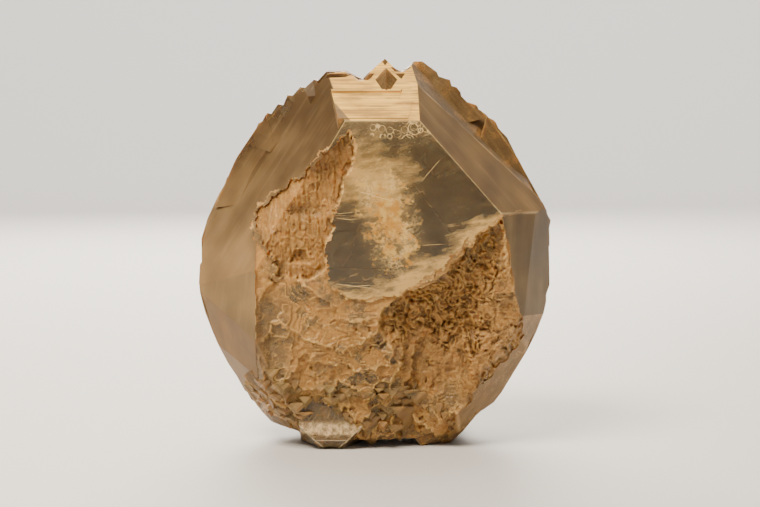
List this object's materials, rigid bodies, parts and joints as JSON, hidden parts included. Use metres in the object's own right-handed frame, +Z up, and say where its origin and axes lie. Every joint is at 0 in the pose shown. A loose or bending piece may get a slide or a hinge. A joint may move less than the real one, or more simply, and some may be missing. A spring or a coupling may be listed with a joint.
{
  "type": "tunellite crystal specimen",
  "caption": "Free-standing tabular tunellite crystal, bevelled, clear to honey-brown, with a jagged rim of parallel tips and an etched, ledged front.",
  "frame": {"origin": "on the resting plane, below the middle of the bounding box", "axes": "+Z up, the crystal's height; +X to the right and +Y away from someone who looks at the etched front"},
  "size_m": [0.0718, 0.038, 0.0783],
  "materials": {
    "crystal": "gloss"
  },
  "bodies": {
    "root": {"crystal": "crystal"}
  },
  "joints": []
}
